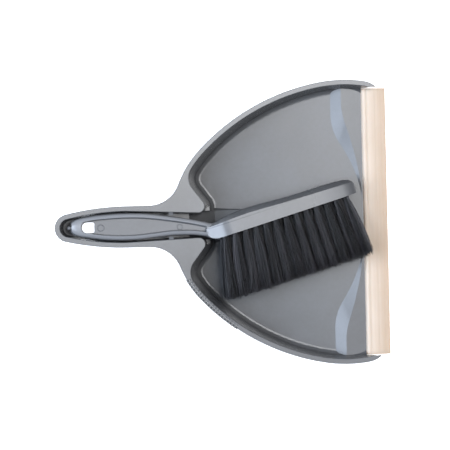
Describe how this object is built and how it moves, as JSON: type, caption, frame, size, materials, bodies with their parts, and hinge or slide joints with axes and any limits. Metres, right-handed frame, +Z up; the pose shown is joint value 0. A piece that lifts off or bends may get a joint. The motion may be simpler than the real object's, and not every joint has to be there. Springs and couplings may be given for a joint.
{
  "type": "dust pan and brush set",
  "caption": "Grey moulded dust pan with a cream rubber lip, a comb on its rim and a trough handle that holds a matching hand brush with black bristles.",
  "frame": {"origin": "centre of the overall box, on the surface that the pan stands on", "axes": "+X from the handle's tip to the lip's free edge, +Y across the pan away from the comb on its rim, +Z up"},
  "size_m": [0.333, 0.286, 0.0797],
  "materials": {
    "pan_plastic": "semi-gloss silver-grey moulded polypropylene",
    "lip_rubber": "matt cream flexible rubber",
    "brush_plastic": "semi-gloss silver-grey moulded polypropylene",
    "bristle": "black synthetic filament",
    "anchor_steel": "flat anchor wire"
  },
  "bodies": {
    "pan": {"pan": "pan_plastic", "lip": "lip_rubber"},
    "brush": {"brush_body": "brush_plastic", "tuft_01": "bristle", "tuft_02": "bristle", "tuft_03": "bristle", "tuft_04": "bristle", "tuft_05": "bristle", "tuft_06": "bristle", "tuft_07": "bristle", "tuft_08": "bristle", "tuft_09": "bristle", "tuft_10": "bristle", "tuft_11": "bristle", "tuft_12": "bristle", "tuft_13": "bristle", "tuft_14": "bristle", "tuft_15": "bristle", "tuft_16": "bristle", "tuft_17": "bristle", "tuft_18": "bristle", "tuft_19": "bristle", "tuft_20": "bristle", "tuft_21": "bristle", "tuft_22": "bristle", "tuft_23": "bristle", "tuft_24": "bristle", "tuft_25": "bristle", "tuft_26": "bristle", "tuft_27": "bristle", "tuft_28": "bristle", "tuft_29": "bristle", "tuft_30": "bristle", "tuft_31": "bristle", "tuft_32": "bristle", "tuft_33": "bristle", "tuft_34": "bristle", "tuft_35": "bristle", "tuft_36": "bristle", "tuft_37": "bristle", "tuft_38": "bristle", "tuft_39": "bristle", "tuft_40": "bristle", "tuft_41": "bristle", "tuft_42": "bristle", "tuft_43": "bristle", "tuft_44": "bristle", "tuft_45": "bristle", "tuft_46": "bristle", "tuft_47": "bristle", "tuft_48": "bristle", "tuft_49": "bristle", "tuft_50": "bristle", "anchors": "anchor_steel"}
  },
  "joints": [
    {"name": "brush_lift_off", "type": "slide", "parent": "pan", "child": "brush", "axis": [0, 0, 1], "range_m": [0, 0.12]}
  ]
}
